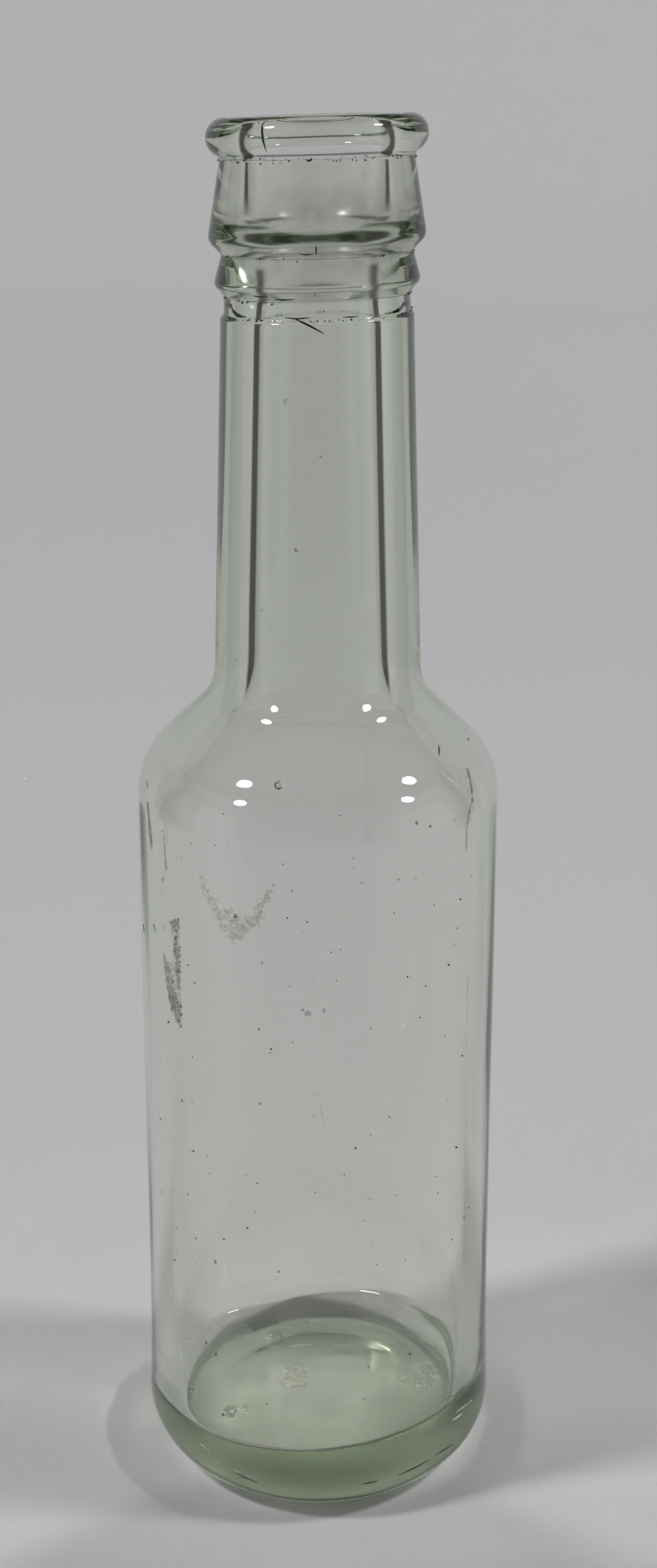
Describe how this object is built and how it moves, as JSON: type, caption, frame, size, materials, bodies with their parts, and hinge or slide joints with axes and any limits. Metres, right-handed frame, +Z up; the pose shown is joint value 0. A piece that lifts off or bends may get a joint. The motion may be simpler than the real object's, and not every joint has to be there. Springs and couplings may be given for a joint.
{
  "type": "worcestershire sauce bottle",
  "caption": "Small empty round glass sauce bottle with a thick base, a sloping shoulder, a long neck and a moulded mouth with a lip, a collar and a bead.",
  "frame": {"origin": "middle of the ring that the bottle stands on", "axes": "+Z up along the bottle's axis; the inner floor and the mouth run a little higher towards +X; -Y is the side that the picture shows"},
  "size_m": [0.049, 0.049, 0.1843],
  "materials": {
    "glass": "glossy clear glass with a faint green cast, deeper green where it is thick"
  },
  "bodies": {
    "root": {"bottle": "glass"}
  },
  "joints": []
}
